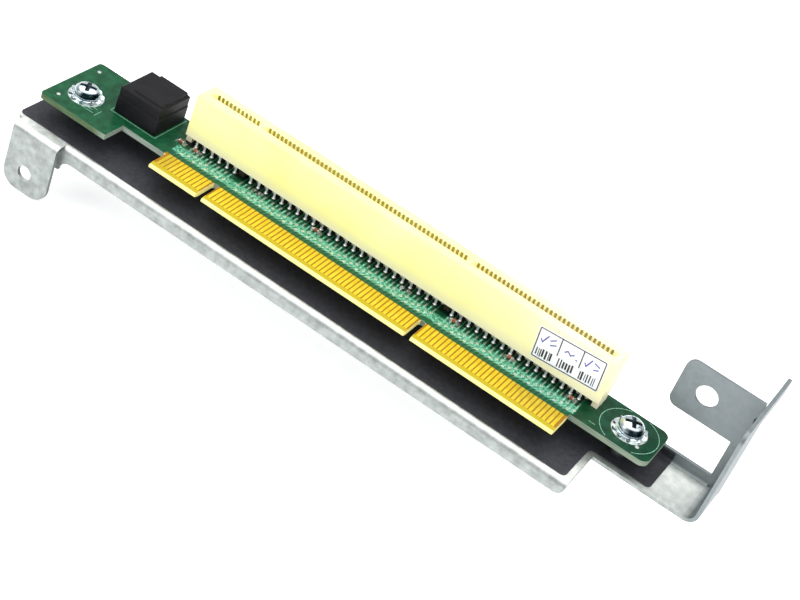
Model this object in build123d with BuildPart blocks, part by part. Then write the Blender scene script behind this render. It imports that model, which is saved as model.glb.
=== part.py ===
"""PCI-X riser card on its sheet-steel bracket.

A 64-bit, 3.3 V riser: gold fingers along the front edge plug into the main board, and the long
socket on top takes an expansion card. The card sits on two standoffs in a folded, zinc-plated
bracket lined with a black insulating film.

X runs along the fingers from the centre of contact 1, Y from the finger tips to the back, and
Z up from the component face of the board. Lengths are in millimetres.
"""
import os

from build123d import *

# Contact pattern, shared by the fingers and the socket
pitch = 1.27
first_contacts = 11  # left of the first key
middle_contacts = 49  # between the keys
last_contacts = 32  # right of the second key
key_gap = 3 * pitch  # between the last contact before a key and the first after it

# Circuit board
board_thickness = 1.57
tab_margin = 1.28  # from an outer contact to the side of the finger tab
key_slot_width = 1.9
key_slot_depth = 8.3
bevel_depth = 1.3
bevel_height = 0.45
neck_length = 14.12  # from the finger tab to the head
neck_front = 7.0
head_length = 21.8
head_front = -0.5
right_end_length = 21.87  # from the finger tab to the right end
right_end_front = 9.4
board_back = 24.9
board_corner = 2.4
head_corner = 1.2

# Finger plating
finger_width = 1.0
finger_length = 6.6
finger_plating = 0.05

# Socket for the expansion card
socket_width = 7.7
socket_height = 12.7
socket_centre_y = 19.8
socket_first_x = 1.5  # contact 1 of the socket
socket_standoff = 2.2  # gap between the board and the moulding
card_slot_width = 1.9
card_slot_end = 1.45  # from an outer contact to the end of the slot
socket_end_wall = 2.225  # from the end of the slot to the end of the moulding
card_key_width = 1.7
lip_height = 1.2  # moulding above the contact tips
lead_in = 0.35
foot_width = 5.6
peg_radius = 0.9

# Socket contacts
strip_thickness = 0.3
contact_width = 0.6
tip_offset = 0.75  # from the slot's middle to a contact's tip
inner_row = 1.05
outer_row = 3.15
elbow_height = 4.2
pocket_clearance = 0.12

# Two-part receptacle beside the socket
receptacle_gap = 5.525  # to the socket
receptacle_front = 10.3
receptacle_length = 13.6
receptacle_width = 13.5
receptacle_base_height = 4.8
receptacle_cover_height = 3.9
cover_inset = 0.25
plateau_height = 0.6
plateau_start = 0.28  # share of the length left of the plateau
plateau_margin = 0.9
receptacle_chamfer = 0.6
receptacle_pin = 0.64
receptacle_pin_pitch = 4.2
pin_seat_depth = 2.0
pin_below_board = 1.6
pin_hole = 0.8  # in the board

# Sheet-steel bracket
sheet = 1.0
tray_top = -7.0  # upper face of the tray floor
fold_radius = 0.8  # inside radius of the small folds
end_fold_radius = 2.4  # inside radius of the large fold under the end flange
tab_fold_radius = 0.8  # inside radius of the fold between the end flange and its tab
tray_overhang = 2.8  # beyond the left end of the board
tray_corner = 1.9
back_lip_gap = 0.6  # between the board and the lip
back_lip_height = 3.0
skirt_face = -5.2  # front face of the folded skirt
skirt_drop = 4.0  # from the tray top to the lower edge of the skirt
skirt_short = 12.2  # from the right end of the skirt to that of the board
skirt_corner = 2.4
skirt_web = 3.5  # fillet between the skirt and the sheared side of the left tab
skirt_web_radius = 3.6
narrow_front = 9.6  # front edge of the tray right of the skirt
left_tab_face = -7.8
left_tab_inset = 2.2  # from the left end of the tray
left_tab_width = 14.4
left_tab_drop = 18.4  # from the tray top to the lower edge of the tab
left_tab_corner = 4.6
left_tab_hole = 2.1
left_tab_hole_inset = 6.6  # from the left side of the tab
left_tab_hole_drop = 12.6
end_reach = 17.0  # from the board to the outer face of the end flange
end_top = 22.0
end_corner = 3.0
end_tab_length = 22.3
end_tab_bottom = 7.5
end_tab_corner = 2.6
end_tab_hole = 3.0
end_tab_hole_inset = 8.0  # from the free end of the tab
end_window_margin = 4.0
ear_length = 15.5  # behind the end tab
ear_bottom = 17.0
ear_corner = 1.5
relief = 0.9  # width of the relief cuts at the ends of the folds
shear_gap = 0.15  # between the ear and the end tab, which are sheared apart

# Insulating film
film = 0.25
film_edge = 2.1  # from the skirt's face
film_step = 1.7  # from the right end of the skirt
film_step_edge = 1.6  # from the edge of the narrow part of the tray
film_overhang = 3.2  # beyond the right end of the board
film_corner = 1.4
film_gap = 0.1  # between the folded film and the lip
film_fold_height = 2.6
film_hole = 3.6

# Standoffs, screws and lock washers
left_screw_inset = 7.8  # from the left end of the board
left_screw_y = 8.9
right_screw_inset = 8.4  # from the right end of the board
right_screw_y = 17.0
standoff_radius = 3.0
standoff_collar = 2.1  # swaged into the tray
thread_radius = 1.75
screw_hole = 1.95  # in the board
screw_length = 6.5  # under the head
head_radius = 3.45
head_height = 2.3
head_chamfer = 1.0
recess_radius = 1.75
recess_width = 0.9
recess_depth = 1.3
recess_turn = 25  # degrees from X, as the screws were left
washer_radius = 4.7
washer_root = 3.8
washer_thickness = 0.8
washer_teeth = 10
hole_clearance = 0.1

# Small surface-mounted parts and the label
chip_length = 1.6
chip_width = 0.8
chip_height = 0.8
chip_end = 0.35
chip_gap = 0.85  # in front of the socket
capacitor_x = (-2.0, 2.7, 41.8, 84.6, 101.3, 119.5)
resistor_x = (22.9, 69.8)
label_length = 19.0
label_height = 9.2
label_thickness = 0.12
label_inset = 11.425  # from the right end of the socket to the label's centre
label_rise = 6.7  # from the bottom of the moulding to the label's centre
label_tilt = 4.3  # it was stuck on a little askew

# Worked out from the sizes above
contact_groups = (first_contacts, middle_contacts, last_contacts)
group_starts = [0.0]
for count in contact_groups[:-1]:
    group_starts.append(group_starts[-1] + (count - 1) * pitch + key_gap)
groups = list(zip(group_starts, contact_groups))
contact_xs = [start + i * pitch for start, count in groups for i in range(count)]
key_xs = [start - key_gap / 2 for start in group_starts[1:]]
last_x = contact_xs[-1]
tab_left = -tab_margin
tab_right = last_x + tab_margin
head_right = tab_left - neck_length
head_left = head_right - head_length
board_right = tab_right + right_end_length
board_bottom = -board_thickness
socket_left = socket_first_x - card_slot_end - socket_end_wall
socket_length = last_x + 2 * (card_slot_end + socket_end_wall)
socket_right = socket_left + socket_length
socket_top = socket_standoff + socket_height
socket_front = socket_centre_y - socket_width / 2
lip_bottom = socket_top - lip_height
receptacle_left = socket_left - receptacle_gap - receptacle_length
receptacle_x = receptacle_left + receptacle_length / 2
receptacle_y = receptacle_front + receptacle_width / 2
pin_places = [
    (receptacle_x + column * receptacle_pin_pitch, receptacle_y + side * receptacle_pin_pitch / 2)
    for column in (-1, 0, 1)
    for side in (-1, 1)
]
tray_middle = tray_top - sheet / 2
tray_bottom = tray_top - sheet
tray_left = head_left - tray_overhang
left_tab_left = tray_left + left_tab_inset
left_tab_right = left_tab_left + left_tab_width
skirt_left = left_tab_right  # the tab is sheared free of the skirt
skirt_right = board_right - skirt_short
back_lip_face = board_back + back_lip_gap  # front face of the lip and of the end tab
lip_middle = back_lip_face + sheet / 2
end_face = board_right + end_reach
end_tab_left = end_face - end_tab_length
screw_places = {
    "left": (head_left + left_screw_inset, left_screw_y),
    "right": (board_right - right_screw_inset, right_screw_y),
}

os.makedirs("parts", exist_ok=True)


def keep(part, name):
    """Names a finished piece and writes it."""
    part.label = name
    export_step(part, f"parts/{name}.step")


def tail_rows(parity):
    """Socket contacts in every second place, as the tails are staggered."""
    return [x for x in contact_xs if round(x / pitch) % 2 == parity]


# Circuit board: glass-epoxy sheet, routed to shape and bevelled along the finger tips
with BuildPart() as circuit_board:
    with BuildSketch(Plane.XY.offset(board_bottom)):
        with BuildLine():
            Polyline(
                (tab_left, 0),
                (tab_right, 0),
                (tab_right, right_end_front),
                (board_right, right_end_front),
                (board_right, board_back),
                (head_left, board_back),
                (head_left, head_front),
                (head_right, head_front),
                (head_right, neck_front),
                (tab_left, neck_front),
                close=True,
            )
        make_face()
        for key_x in key_xs:
            with Locations((key_x, 0)):
                Rectangle(key_slot_width, 2 * (key_slot_depth - key_slot_width / 2), mode=Mode.SUBTRACT)
            with Locations((key_x, key_slot_depth - key_slot_width / 2)):
                Circle(key_slot_width / 2, mode=Mode.SUBTRACT)
    extrude(amount=board_thickness)
    upright = circuit_board.edges().filter_by(Axis.Z)
    fillet(upright.group_by(Axis.X)[-1], board_corner)
    fillet(upright.group_by(Axis.X)[0], head_corner)
    # The tips are bevelled on both faces
    with BuildSketch(Plane.YZ.offset(tab_left)):
        for face_z, inward in ((0, -1), (board_bottom, 1)):
            with BuildLine():
                Polyline(
                    (0, face_z),
                    (bevel_depth, face_z),
                    (0, face_z + inward * bevel_height),
                    close=True,
                )
            make_face()
    extrude(amount=tab_right - tab_left, mode=Mode.SUBTRACT)
    # Holes for the screws, the socket's pegs and the receptacle's pins
    with BuildSketch(Plane.XY):
        with Locations(*screw_places.values()):
            Circle(screw_hole)
        for peg_x in (socket_left + card_key_width / 2, socket_right - card_key_width / 2):
            with Locations((peg_x, socket_centre_y)):
                Circle(peg_radius + hole_clearance)
        with Locations(*pin_places):
            Rectangle(pin_hole, pin_hole)
    extrude(amount=-board_thickness, mode=Mode.SUBTRACT)
keep(circuit_board.part, "circuit_board")

# Gold fingers: one plated pad per contact, on both faces of the tab
for side_name, face_z, outward in (("top", 0, 1), ("bottom", board_bottom, -1)):
    for name, (start, count) in zip(("first", "middle", "last"), groups):
        with BuildPart() as fingers:
            with BuildSketch(Plane.XY.offset(face_z)):
                with Locations((start + (count - 1) * pitch / 2, bevel_depth + finger_length / 2)):
                    with GridLocations(pitch, 1, count, 1):
                        Rectangle(finger_width, finger_length)
            extrude(amount=outward * finger_plating)
        keep(fingers.part, f"{side_name}_fingers_{name}")

# Socket moulding: a long box on feet, slotted for the card edge, hollow below for the contacts
slot_spans = [
    (
        socket_first_x + start - (card_slot_end if index == 0 else key_gap / 2 - card_key_width / 2),
        socket_first_x
        + start
        + (count - 1) * pitch
        + (card_slot_end if index == len(groups) - 1 else key_gap / 2 - card_key_width / 2),
    )
    for index, (start, count) in enumerate(groups)
]
foot_xs = [socket_left + card_key_width / 2, socket_right - card_key_width / 2]
foot_xs += [socket_first_x + x for x in key_xs]
tip_slope = (outer_row - tip_offset) / (lip_bottom - elbow_height)  # lean of the outer contacts
pocket_top = tip_offset + strip_thickness / 2 + pocket_clearance
pocket_bottom = outer_row + strip_thickness / 2 + pocket_clearance
with BuildPart() as connector_housing:
    with BuildSketch(Plane.XY.offset(socket_standoff)):
        with Locations((socket_left + socket_length / 2, socket_centre_y)):
            Rectangle(socket_length, socket_width)
    extrude(amount=socket_height)
    chamfer(connector_housing.edges().group_by(Axis.Z)[-1], lead_in)
    for left, right in slot_spans:
        with BuildSketch(Plane.YZ.offset(left)):
            with Locations((socket_centre_y, lip_bottom)):
                Rectangle(card_slot_width, 2 * lip_height)
            with BuildLine():
                Polyline(
                    (socket_centre_y - pocket_bottom, socket_standoff),
                    (socket_centre_y - pocket_bottom, elbow_height),
                    (socket_centre_y - pocket_top, lip_bottom),
                    (socket_centre_y + pocket_top, lip_bottom),
                    (socket_centre_y + pocket_bottom, elbow_height),
                    (socket_centre_y + pocket_bottom, socket_standoff),
                    close=True,
                )
            make_face()
        extrude(amount=right - left, mode=Mode.SUBTRACT)
    # The mouth of the slot leads the card in
    mouth = [
        edge
        for edge in connector_housing.edges().group_by(Axis.Z)[-1]
        if abs(edge.center().Y - socket_centre_y) < card_slot_width
        and slot_spans[0][0] - lead_in < edge.center().X < slot_spans[-1][1] + lead_in
    ]
    chamfer(mouth, lead_in)
    # Feet stand on the board under the ends and the keys, and a peg at each end goes through it
    with BuildSketch(Plane.XY):
        with Locations(*[(x, socket_centre_y) for x in foot_xs]):
            Rectangle(card_key_width, foot_width)
    extrude(amount=socket_standoff)
    with BuildSketch(Plane.XY):
        with Locations(*[(x, socket_centre_y) for x in foot_xs[:2]]):
            Circle(peg_radius)
    extrude(amount=-board_thickness)
keep(connector_housing.part, "connector_housing")

# Socket contacts: stamped strips whose tips lean into the slot, and which end on the board's face
# in four staggered rows
for side_name, side in (("front", -1), ("rear", 1)):
    for row_name, parity, row in (("outer", 0, outer_row), ("inner", 1, inner_row)):
        half = strip_thickness / 2
        with BuildPart() as contacts:
            planes = [
                Plane.YZ.offset(socket_first_x + x - contact_width / 2) for x in tail_rows(parity)
            ]
            with BuildSketch(*planes):
                with BuildLine():
                    Polyline(
                        (socket_centre_y + side * (tip_offset - half), lip_bottom),
                        (socket_centre_y + side * (tip_offset + half), lip_bottom),
                        (socket_centre_y + side * (row + half), elbow_height),
                        (socket_centre_y + side * (row + half), 0),
                        (socket_centre_y + side * (row - half), 0),
                        (socket_centre_y + side * (row - half), elbow_height),
                        close=True,
                    )
                make_face()
            extrude(amount=contact_width)
        keep(contacts.part, f"{side_name}_{row_name}_contacts")

# Receptacle: moulded base on the board, with a stepped cover pressed over it
cover_bottom = receptacle_base_height
cover_top = cover_bottom + receptacle_cover_height
with BuildPart() as receptacle_housing:
    with BuildSketch(Plane.XY):
        with Locations((receptacle_x, receptacle_y)):
            Rectangle(receptacle_length, receptacle_width)
    extrude(amount=receptacle_base_height)
    chamfer(receptacle_housing.edges().filter_by(Axis.Z), receptacle_chamfer / 2)
    with BuildSketch(Plane.XY):
        with Locations(*pin_places):
            Rectangle(receptacle_pin, receptacle_pin)
    extrude(amount=pin_seat_depth, mode=Mode.SUBTRACT)
keep(receptacle_housing.part, "receptacle_housing")

with BuildPart() as receptacle_cover:
    cover_length = receptacle_length - 2 * cover_inset
    cover_width = receptacle_width - 2 * cover_inset
    with BuildSketch(Plane.XY.offset(cover_bottom)):
        with Locations((receptacle_x, receptacle_y)):
            Rectangle(cover_length, cover_width)
    extrude(amount=receptacle_cover_height - plateau_height)
    chamfer(receptacle_cover.edges().group_by(Axis.Z)[-1], receptacle_chamfer)
    # The raised plateau starts at the step that shows as a groove
    plateau_length = receptacle_length * (1 - plateau_start) - plateau_margin
    with BuildSketch(Plane.XY.offset(cover_top - plateau_height)):
        with Locations((receptacle_left + receptacle_length * plateau_start, receptacle_y)):
            Rectangle(
                plateau_length,
                receptacle_width - 2 * plateau_margin,
                align=(Align.MIN, Align.CENTER),
            )
    extrude(amount=plateau_height)
keep(receptacle_cover.part, "receptacle_cover")

with BuildPart() as receptacle_pins:
    with BuildSketch(Plane.XY.offset(board_bottom - pin_below_board)):
        with Locations(*pin_places):
            Rectangle(receptacle_pin, receptacle_pin)
    extrude(amount=pin_below_board + board_thickness + pin_seat_depth)
keep(receptacle_pins.part, "receptacle_pins")


def folded_strip(plane, corners, radius, width):
    """Adds a strip of the sheet, folded at each corner of its middle line, to the open piece."""
    with BuildSketch(plane) as section:
        with BuildLine():
            FilletPolyline(*corners, radius=radius + sheet / 2)
        trace(line_width=sheet)
    extrude(section.sketch, amount=width)


# Bracket: one blank of zinc-plated steel, punched and folded
lip_top = tray_top + back_lip_height
skirt_middle = skirt_face + sheet / 2
left_tab_middle = left_tab_face + sheet / 2
end_middle = end_face - sheet / 2
end_fold_start = end_face - sheet - end_fold_radius
with BuildPart() as bracket:
    # Tray between the skirt's ends: lip at the back, floor, skirt at the front
    folded_strip(
        Plane.YZ.offset(skirt_left),
        [(lip_middle, lip_top), (lip_middle, tray_middle), (skirt_middle, tray_middle),
         (skirt_middle, tray_top - skirt_drop)],
        fold_radius,
        skirt_right - skirt_left,
    )
    # Tray floor and lip left of the skirt, then right of it
    folded_strip(
        Plane.YZ.offset(tray_left),
        [(lip_middle, lip_top), (lip_middle, tray_middle), (skirt_face + relief, tray_middle)],
        fold_radius,
        skirt_left - tray_left,
    )
    folded_strip(
        Plane.YZ.offset(skirt_right),
        [(lip_middle, lip_top), (lip_middle, tray_middle), (narrow_front, tray_middle)],
        fold_radius,
        end_fold_start - skirt_right,
    )
    # The skirt runs into a small web where the left tab was sheared from it
    skirt_bottom = tray_top - skirt_drop
    with BuildSketch(Plane.XZ.offset(-skirt_face)):
        with Locations((skirt_left, skirt_bottom)):
            Rectangle(skirt_web, skirt_web, align=(Align.MIN, Align.MAX))
        with Locations((skirt_left + skirt_web, skirt_bottom - skirt_web_radius)):
            Circle(skirt_web_radius, mode=Mode.SUBTRACT)
    extrude(amount=-sheet)
    # Left tab, folded down from a ledge that stands further forward than the skirt
    folded_strip(
        Plane.YZ.offset(left_tab_left),
        [(back_lip_face / 2, tray_middle), (left_tab_middle, tray_middle),
         (left_tab_middle, tray_top - left_tab_drop)],
        fold_radius,
        left_tab_right - left_tab_left,
    )
    # End flange, folded up from the tray
    folded_strip(
        Plane.XZ.offset(-narrow_front),
        [(end_fold_start - sheet, tray_middle), (end_middle, tray_middle), (end_middle, end_top)],
        end_fold_radius,
        narrow_front - back_lip_face + tab_fold_radius,
    )
    # Its back edge is folded again, towards the left, into the end tab
    folded_strip(
        Plane.XY.offset(tray_top + fold_radius),
        [(end_middle, back_lip_face - tab_fold_radius - sheet), (end_middle, lip_middle),
         (end_tab_left, lip_middle)],
        tab_fold_radius,
        end_top - tray_top - fold_radius,
    )
    # Window between the end tab and the lip
    with BuildSketch(Plane.XZ.offset(-back_lip_face + sheet)):
        with BuildLine():
            Polyline(
                (end_tab_left - sheet, lip_top),
                (end_face - end_window_margin, lip_top),
                (end_face - end_window_margin, end_tab_bottom),
                (end_tab_left - sheet, end_tab_bottom),
                close=True,
            )
        make_face()
    extrude(amount=-3 * sheet, mode=Mode.SUBTRACT)
    # At the top the flange runs on to the back as a narrow ear: the fold stops at a relief cut
    # under it, and the tab, sheared free, runs on flat beside it
    with BuildSketch(Plane.XZ.offset(-back_lip_face + tab_fold_radius)):
        with Locations((end_middle, end_top)):
            Rectangle(
                sheet + 2 * tab_fold_radius, 2 * (end_top - ear_bottom) + 2 * relief
            )
    extrude(amount=-tab_fold_radius - 3 * sheet, mode=Mode.SUBTRACT)
    ear_back = back_lip_face + sheet + ear_length
    with BuildSketch(Plane.YZ.offset(end_middle - sheet / 2)):
        with Locations((back_lip_face - tab_fold_radius, ear_bottom)):
            Rectangle(
                ear_back - back_lip_face + tab_fold_radius,
                end_top - ear_bottom,
                align=(Align.MIN, Align.MIN),
            )
    extrude(amount=sheet)
    with BuildSketch(Plane.XZ.offset(-back_lip_face)):
        with Locations((end_face - sheet - shear_gap, ear_bottom)):
            Rectangle(
                2 * tab_fold_radius, end_top - ear_bottom, align=(Align.MAX, Align.MIN)
            )
    extrude(amount=-sheet)
    # Holes: the standoffs' collars, and one in each fixing tab
    with BuildSketch(Plane.XY.offset(tray_top)):
        with Locations(*screw_places.values()):
            Circle(standoff_collar)
    extrude(amount=-sheet, mode=Mode.SUBTRACT)
    for face_y, hole_x, hole_z, radius in (
        (left_tab_face, left_tab_left + left_tab_hole_inset, tray_top - left_tab_hole_drop,
         left_tab_hole),
        (back_lip_face, end_tab_left + end_tab_hole_inset, (end_top + end_tab_bottom) / 2,
         end_tab_hole),
    ):
        with BuildSketch(Plane.XZ.offset(-face_y)):
            with Locations((hole_x, hole_z)):
                Circle(radius)
        extrude(amount=-sheet, mode=Mode.SUBTRACT)

    # Free corners are rounded by the punch
    def corners(axis, x, y, z):
        """Edges through the sheet's thickness at a place, where None leaves a coordinate free."""
        return [
            edge
            for edge in bracket.edges().filter_by(axis)
            if edge.length < 1.1 * sheet
            and all(
                wanted is None or abs(found - wanted) < sheet
                for wanted, found in zip((x, y, z), edge.center())
            )
        ]

    fillet(corners(Axis.Y, None, None, tray_top - left_tab_drop), left_tab_corner)
    for corner_z in (end_top, end_tab_bottom):
        fillet(corners(Axis.Y, end_tab_left, None, corner_z), end_tab_corner)
    fillet(corners(Axis.Y, skirt_right, None, skirt_bottom), skirt_corner)
    fillet(corners(Axis.X, end_middle, ear_back, None), ear_corner)
    fillet(corners(Axis.X, end_middle, narrow_front, end_top), end_corner)
    fillet(corners(Axis.Z, tray_left, skirt_face + relief, None), tray_corner)
keep(bracket.part, "bracket")

# Insulating film: die-cut sheet on the tray, turned up along the lip
film_left = tray_left
film_right = board_right + film_overhang
film_front = skirt_face + film_edge
film_step_x = skirt_right - film_step
film_step_front = narrow_front + film_step_edge
with BuildPart() as insulator_film:
    with BuildSketch(Plane.YZ.offset(film_left)) as film_section:
        with BuildLine():
            FilletPolyline(
                (film_front, tray_top + film / 2),
                (back_lip_face - film_gap - film / 2, tray_top + film / 2),
                (back_lip_face - film_gap - film / 2, tray_top + film_fold_height),
                radius=fold_radius + film,
            )
        trace(line_width=film)
    extrude(amount=film_right - film_left)
    with BuildSketch(Plane.XY.offset(tray_top)):
        with Locations((film_step_x, film_front - film)):
            Rectangle(
                film_right - film_step_x + film,
                film_step_front - film_front + film,
                align=(Align.MIN, Align.MIN),
            )
        with Locations(*screw_places.values()):
            Circle(film_hole)
    extrude(amount=film, mode=Mode.SUBTRACT)
    film_corners = insulator_film.edges().filter_by(Axis.Z).filter_by(lambda e: e.length < 1.1 * film)
    fillet(film_corners, film_corner)
keep(insulator_film.part, "insulator_film")

# Fixings at each end of the board: swaged standoff, toothed lock washer, pan-head screw
for side_name, place in screw_places.items():
    with BuildPart() as standoff:
        with BuildSketch(Plane.XY.offset(tray_top)):
            with Locations(place):
                Circle(standoff_radius)
        extrude(amount=board_bottom - tray_top)
        with BuildSketch(Plane.XY.offset(tray_bottom)):
            with Locations(place):
                Circle(standoff_collar)
        extrude(amount=sheet)
        with BuildSketch(Plane.XY.offset(tray_bottom)):
            with Locations(place):
                Circle(thread_radius)
        extrude(amount=board_bottom - tray_bottom, mode=Mode.SUBTRACT)
    keep(standoff.part, f"{side_name}_standoff")

    with BuildPart() as lock_washer:
        with BuildSketch(Plane.XY):
            with Locations(place):
                Circle(washer_root)
                with PolarLocations(0, washer_teeth):
                    Rectangle(
                        washer_radius,
                        1.5 * washer_thickness,
                        align=(Align.MIN, Align.CENTER),
                    )
                Circle(screw_hole, mode=Mode.SUBTRACT)
        extrude(amount=washer_thickness)
    keep(lock_washer.part, f"{side_name}_lock_washer")

    with BuildPart() as screw:
        with BuildSketch(Plane.XY.offset(washer_thickness)):
            with Locations(place):
                Circle(head_radius)
        extrude(amount=head_height)
        chamfer(screw.edges().group_by(Axis.Z)[-1], head_chamfer)
        with BuildSketch(Plane.XY.offset(washer_thickness + head_height)):
            with Locations(place):
                with PolarLocations(0, 2, start_angle=recess_turn, angular_range=180):
                    Rectangle(2 * recess_radius, recess_width)
        extrude(amount=-recess_depth, mode=Mode.SUBTRACT)
        with BuildSketch(Plane.XY.offset(washer_thickness)):
            with Locations(place):
                Circle(thread_radius - hole_clearance / 2)
        extrude(amount=-screw_length)
    keep(screw.part, f"{side_name}_screw")

# Chip capacitors and resistors in front of the socket: ceramic bodies and tinned ends
chip_y = socket_front - chip_gap - chip_width / 2
for name, places in (("capacitor", capacitor_x), ("resistor", resistor_x)):
    height = chip_height if name == "capacitor" else chip_height / 2
    with BuildPart() as chip_bodies:
        with BuildSketch(Plane.XY):
            with Locations(*[(x, chip_y) for x in places]):
                Rectangle(chip_length - 2 * chip_end, chip_width)
        extrude(amount=height)
    keep(chip_bodies.part, f"{name}_bodies")
    with BuildPart() as chip_ends:
        with BuildSketch(Plane.XY):
            for side in (-1, 1):
                with Locations(*[(x + side * (chip_length - chip_end) / 2, chip_y) for x in places]):
                    Rectangle(chip_end, chip_width)
        extrude(amount=height)
    keep(chip_ends.part, f"{name}_terminals")

# Paper label on the socket's front face
with BuildPart() as label:
    with BuildSketch(Plane.XZ.offset(-socket_front)):
        with Locations(Location((socket_right - label_inset, socket_standoff + label_rise), label_tilt)):
            Rectangle(label_length, label_height)
    extrude(amount=label_thickness)
keep(label.part, "label")
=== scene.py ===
"""PCI-X riser card on its steel bracket: finishes and fine detail over the CAD frame.

The sections follow the card as it is put together: bracket, film, standoffs, board, fingers,
tracks, solder, screen print, socket, contacts, receptacle, chips, screws and label. Lengths are in
millimetres; a finished shape is scaled to metres when it becomes a piece.
"""

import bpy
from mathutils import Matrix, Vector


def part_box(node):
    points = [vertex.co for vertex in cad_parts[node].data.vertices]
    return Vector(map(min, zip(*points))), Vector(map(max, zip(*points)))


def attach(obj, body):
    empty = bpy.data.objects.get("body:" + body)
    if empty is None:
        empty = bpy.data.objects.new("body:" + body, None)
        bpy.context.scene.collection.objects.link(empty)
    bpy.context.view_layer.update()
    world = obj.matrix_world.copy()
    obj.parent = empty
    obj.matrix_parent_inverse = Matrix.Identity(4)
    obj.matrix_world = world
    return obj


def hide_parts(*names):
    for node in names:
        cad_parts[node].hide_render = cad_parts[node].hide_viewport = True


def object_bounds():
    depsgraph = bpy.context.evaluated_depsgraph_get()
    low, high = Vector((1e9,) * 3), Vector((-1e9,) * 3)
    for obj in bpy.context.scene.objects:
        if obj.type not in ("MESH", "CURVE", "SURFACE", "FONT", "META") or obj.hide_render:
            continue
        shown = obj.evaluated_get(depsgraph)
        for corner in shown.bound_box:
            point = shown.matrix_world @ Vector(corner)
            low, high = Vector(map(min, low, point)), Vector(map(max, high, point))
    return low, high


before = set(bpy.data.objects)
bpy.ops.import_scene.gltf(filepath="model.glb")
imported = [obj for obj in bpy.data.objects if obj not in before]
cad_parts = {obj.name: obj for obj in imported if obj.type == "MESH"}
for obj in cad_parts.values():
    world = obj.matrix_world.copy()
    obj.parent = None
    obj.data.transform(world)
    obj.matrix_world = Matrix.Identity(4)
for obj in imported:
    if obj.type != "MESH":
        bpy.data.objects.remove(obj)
cad_box = [list(corner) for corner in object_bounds()]

import math
import random

import bmesh
import bpy
from mathutils import Matrix, Vector

# Camera: a long lens stands in front of the card, to its right and above. It is rolled, so that the
# card falls away to the lower right of the picture.
MM = 0.001
camera_place = Vector((185.08, -347.84, 267.54))
camera_target = Vector((71.0, 10.06, 0.0))
camera_roll = 22.967  # degrees
camera_lens = 83.808
camera_sensor = 36

camera_data = bpy.data.cameras.new("camera")
camera_data.lens = camera_lens
camera_data.sensor_width = camera_sensor
camera = bpy.data.objects.new("camera", camera_data)
bpy.context.scene.collection.objects.link(camera)
aim = (camera_target - camera_place).to_track_quat("-Z", "Y").to_matrix().to_4x4()
roll = Matrix.Rotation(math.radians(camera_roll), 4, "Z")
camera.matrix_world = Matrix.Translation(camera_place * MM) @ aim @ roll
bpy.context.scene.camera = camera

# Studio: a white sweep, lit from behind, lies under the card. A very large softbox hangs overhead,
# one at the front left lights the skirt, and a weak one fills in from the right.
sweep_half = 3000
sweep_drop = 0.5  # below the lowest point of the bracket
sweep_finish = {
    "Base Color": "#fbfbfb",
    "Roughness": 0.9,
    "Emission Color": "#ffffff",
    "Emission Strength": 0.45,
}
sky_tone = "#f2f4f6"
sky_strength = 0.66
softboxes = {  # where it hangs, what it points at, its two sides and its power in watts
    "overhead": ((40, 90, 700), (60, 10, 0), (1500, 1200), 9.0),
    "front_left": ((-360, -480, 380), (40, 0, 0), (380, 380), 1.5),
    "right_fill": ((560, -200, 300), (120, 0, 0), (260, 260), 0.7),
}


def linear(code):
    """Linear RGBA of an sRGB hex colour such as "#cfd6d2"."""
    channels = [int(code[i : i + 2], 16) / 255 for i in (1, 3, 5)]
    return [c / 12.92 if c <= 0.04045 else ((c + 0.055) / 1.055) ** 2.4 for c in channels] + [1.0]


def link(tree, node, sources):
    """Links each named input of a node to another node, or to one of its outputs."""
    for name, source in sources.items():
        socket = source.outputs[0] if isinstance(source, bpy.types.Node) else source
        tree.links.new(socket, node.inputs[name])


def add(tree, kind, settings=None, links=None):
    """Adds a shader node. Settings are its properties or inputs, or a colour ramp's stops."""
    node = tree.nodes.new("ShaderNode" + kind)
    for name, value in (settings or {}).items():
        if name == "stops":
            ramp = node.color_ramp
            while len(ramp.elements) < len(value):
                ramp.elements.new(0.5)
            for element, (position, tone) in zip(ramp.elements, value):
                element.position = position
                element.color = linear(tone)
        elif isinstance(name, int) or name in node.inputs:
            node.inputs[name].default_value = linear(value) if isinstance(value, str) else value
        else:
            setattr(node, name, value)
    link(tree, node, links or {})
    return node


def new_material(name, surface):
    """A material with its Principled inputs set, its shader, and its place on the card in mm."""
    material = bpy.data.materials.new(name)
    material.use_nodes = True
    tree = material.node_tree
    shader = tree.nodes["Principled BSDF"]
    for key, value in surface.items():
        shader.inputs[key].default_value = linear(value) if isinstance(value, str) else value
    metres = add(tree, "TexCoord").outputs["Object"]
    place = add(tree, "VectorMath", {"operation": "SCALE", "Scale": 1 / MM}, {0: metres})
    return material, tree, shader, place


sweep_z = cad_box[0][2] - sweep_drop * MM
sweep_corners = [
    (x * sweep_half * MM, y * sweep_half * MM, sweep_z)
    for x, y in ((-1, -1), (1, -1), (1, 1), (-1, 1))
]
sweep_mesh = bpy.data.meshes.new("sweep")
sweep_mesh.from_pydata(sweep_corners, [], [(0, 1, 2, 3)])
sweep_mesh.materials.append(new_material("backlit_white_sweep", sweep_finish)[0])
sweep = bpy.data.objects.new("sweep", sweep_mesh)
bpy.context.scene.collection.objects.link(sweep)

for name, (hung_at, aimed_at, size, power) in softboxes.items():
    light = bpy.data.lights.new(name, "AREA")
    light.shape = "RECTANGLE"
    light.size, light.size_y = (length * MM for length in size)
    light.energy = power
    lamp = bpy.data.objects.new(name, light)
    towards = Vector(aimed_at) - Vector(hung_at)
    turn = towards.to_track_quat("-Z", "Y").to_matrix().to_4x4()
    lamp.matrix_world = Matrix.Translation(Vector(hung_at) * MM) @ turn
    bpy.context.scene.collection.objects.link(lamp)

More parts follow.
